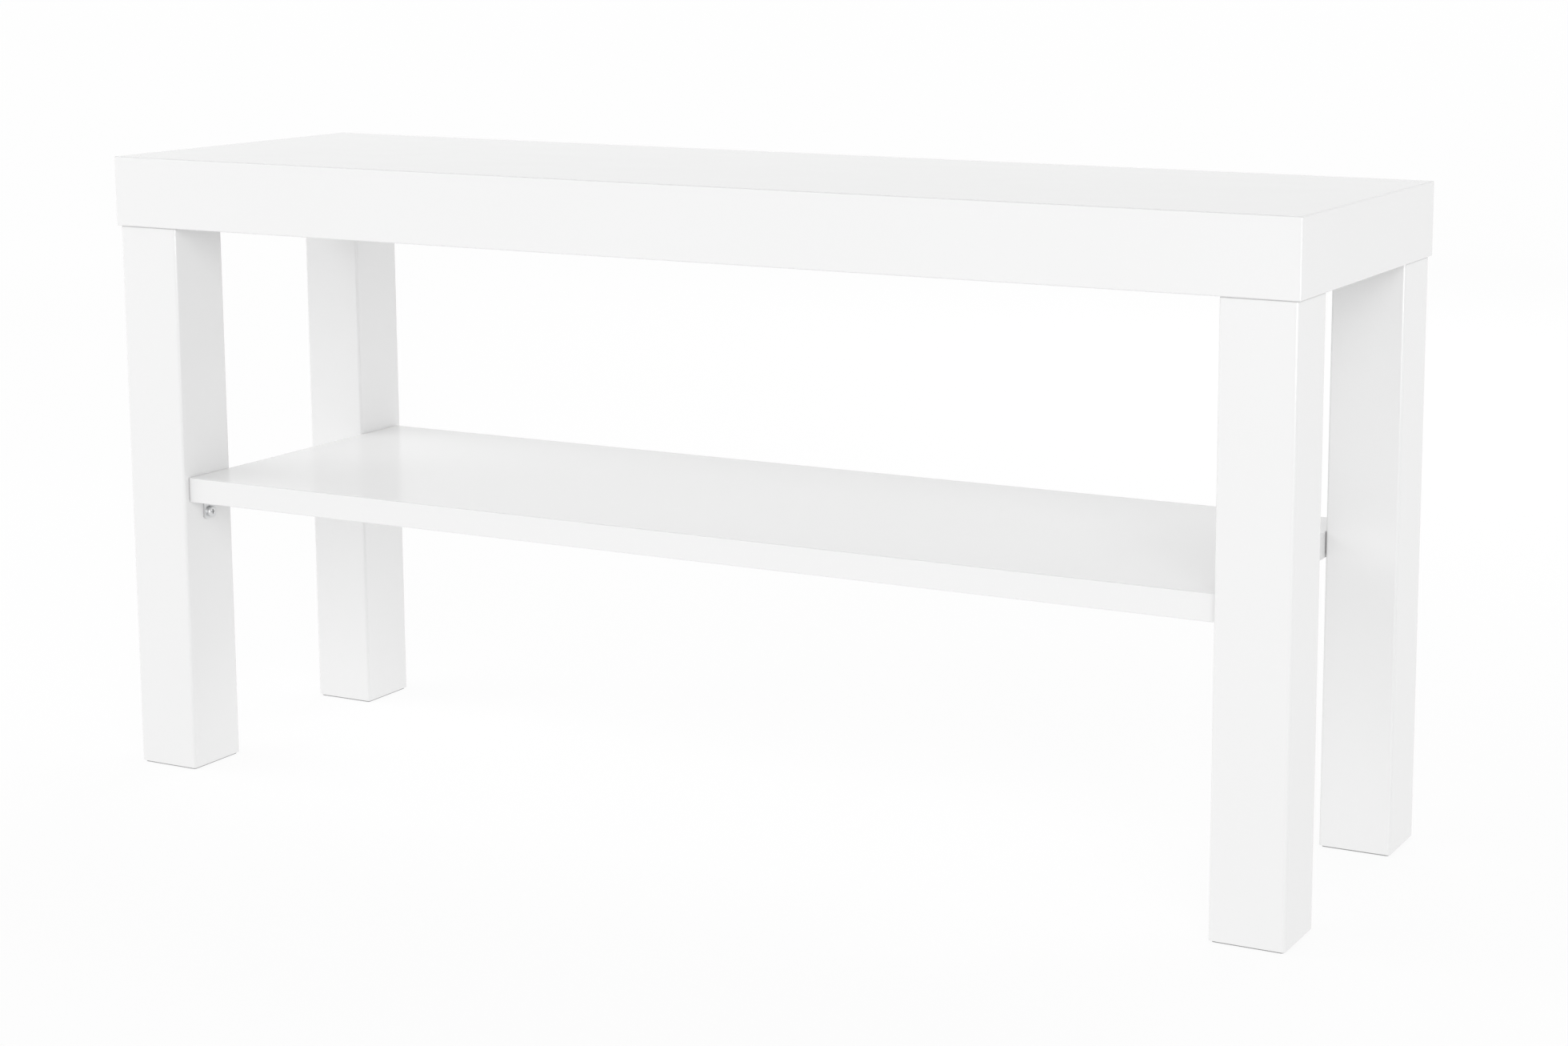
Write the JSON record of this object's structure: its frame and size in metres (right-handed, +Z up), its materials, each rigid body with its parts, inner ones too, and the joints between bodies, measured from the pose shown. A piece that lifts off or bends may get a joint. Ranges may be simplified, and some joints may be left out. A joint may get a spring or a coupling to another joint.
{
  "type": "console table",
  "caption": "Low console table: a thick flat rectangular top on square legs flush with its corners, and a thin shelf between the legs at half their height, on small angle brackets.",
  "frame": {"origin": "middle of the footprint, on the floor", "axes": "+X along the length to the right, -Y to the front, +Z up"},
  "size_m": [0.9, 0.26, 0.45],
  "materials": {
    "white_lacquered_board": "fibreboard skin and foiled board with a smooth white semi-gloss lacquer",
    "white_edging": "white semi-gloss edge band with softly rounded edges",
    "white_foil_fibreboard": "folded fibreboard wrapped in white semi-gloss foil",
    "particleboard": "raw particleboard, sealed inside",
    "kraft_paper": "brown kraft paper honeycomb, sealed inside",
    "zinc_plated_steel": "bright zinc plate, slightly dull",
    "glide_plastic": "light grey hard plastic glide"
  },
  "bodies": {
    "root": {"top_skin": "white_lacquered_board", "underside_skin": "white_lacquered_board", "shelf_board": "white_lacquered_board", "top_front_band": "white_edging", "top_rear_band": "white_edging", "top_left_band": "white_edging", "top_right_band": "white_edging", "shelf_front_band": "white_edging", "shelf_rear_band": "white_edging", "shelf_left_band": "white_edging", "shelf_right_band": "white_edging", "front_left_leg_sleeve": "white_foil_fibreboard", "front_right_leg_sleeve": "white_foil_fibreboard", "rear_left_leg_sleeve": "white_foil_fibreboard", "rear_right_leg_sleeve": "white_foil_fibreboard", "front_rail": "particleboard", "rear_rail": "particleboard", "left_rail": "particleboard", "right_rail": "particleboard", "front_left_corner_block": "particleboard", "front_right_corner_block": "particleboard", "rear_left_corner_block": "particleboard", "rear_right_corner_block": "particleboard", "front_left_leg_head_block": "particleboard", "front_left_leg_shelf_block": "particleboard", "front_left_leg_foot_block": "particleboard", "front_right_leg_head_block": "particleboard", "front_right_leg_shelf_block": "particleboard", "front_right_leg_foot_block": "particleboard", "rear_left_leg_head_block": "particleboard", "rear_left_leg_shelf_block": "particleboard", "rear_left_leg_foot_block": "particleboard", "rear_right_leg_head_block": "particleboard", "rear_right_leg_shelf_block": "particleboard", "rear_right_leg_foot_block": "particleboard", "honeycomb_core": "kraft_paper", "front_left_shelf_bracket": "zinc_plated_steel", "front_right_shelf_bracket": "zinc_plated_steel", "rear_left_shelf_bracket": "zinc_plated_steel", "rear_right_shelf_bracket": "zinc_plated_steel", "leg_bolts": "zinc_plated_steel", "bracket_leg_screws": "zinc_plated_steel", "bracket_shelf_screws": "zinc_plated_steel", "front_left_leg_glide": "glide_plastic", "front_right_leg_glide": "glide_plastic", "rear_left_leg_glide": "glide_plastic", "rear_right_leg_glide": "glide_plastic"}
  },
  "joints": []
}
